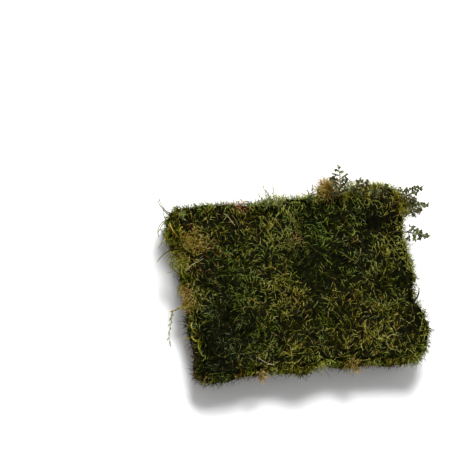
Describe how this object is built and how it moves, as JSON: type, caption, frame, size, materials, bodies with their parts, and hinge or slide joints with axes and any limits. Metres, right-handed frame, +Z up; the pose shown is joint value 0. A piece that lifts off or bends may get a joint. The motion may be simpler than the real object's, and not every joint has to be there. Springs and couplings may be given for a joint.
{
  "type": "moss clump",
  "caption": "Thick rectangular mat of woodland moss with a tufted top, feathery fronds at one corner, grass blades and dry stalks; lies flat as ground cover.",
  "frame": {"origin": "under the middle of the clump's bounding box, on the surface that it lies on", "axes": "+X along the mat's long side, +Y along its short side towards the edge with the fronds, +Z up"},
  "size_m": [0.6576, 0.4646, 0.1748],
  "materials": {
    "moss": "moist living moss, olive to dark green",
    "feather_moss": "matt grey-green feather moss",
    "grass": "pale yellow-green grass blade",
    "dry_straw": "dry straw, matt",
    "bark": "rough dark bark"
  },
  "bodies": {
    "root": {"moss_mat": "moss", "feather_frond_1": "feather_moss", "feather_frond_2": "feather_moss", "feather_frond_3": "feather_moss", "feather_frond_4": "feather_moss", "feather_frond_5": "feather_moss", "feather_frond_6": "feather_moss", "feather_frond_7": "feather_moss", "feather_frond_8": "feather_moss", "grass_blade_1": "grass", "grass_blade_2": "grass", "grass_blade_3": "grass", "grass_blade_4": "grass", "grass_blade_5": "grass", "long_shoot_1": "moss", "long_shoot_2": "moss", "long_shoot_3": "moss", "long_shoot_4": "moss", "long_shoot_5": "moss", "long_shoot_6": "moss", "dry_stalk_1": "dry_straw", "dry_stalk_2": "dry_straw", "dry_stalk_3": "dry_straw", "curled_stem": "dry_straw", "dark_twig": "bark", "trailing_strand": "moss"}
  },
  "joints": []
}
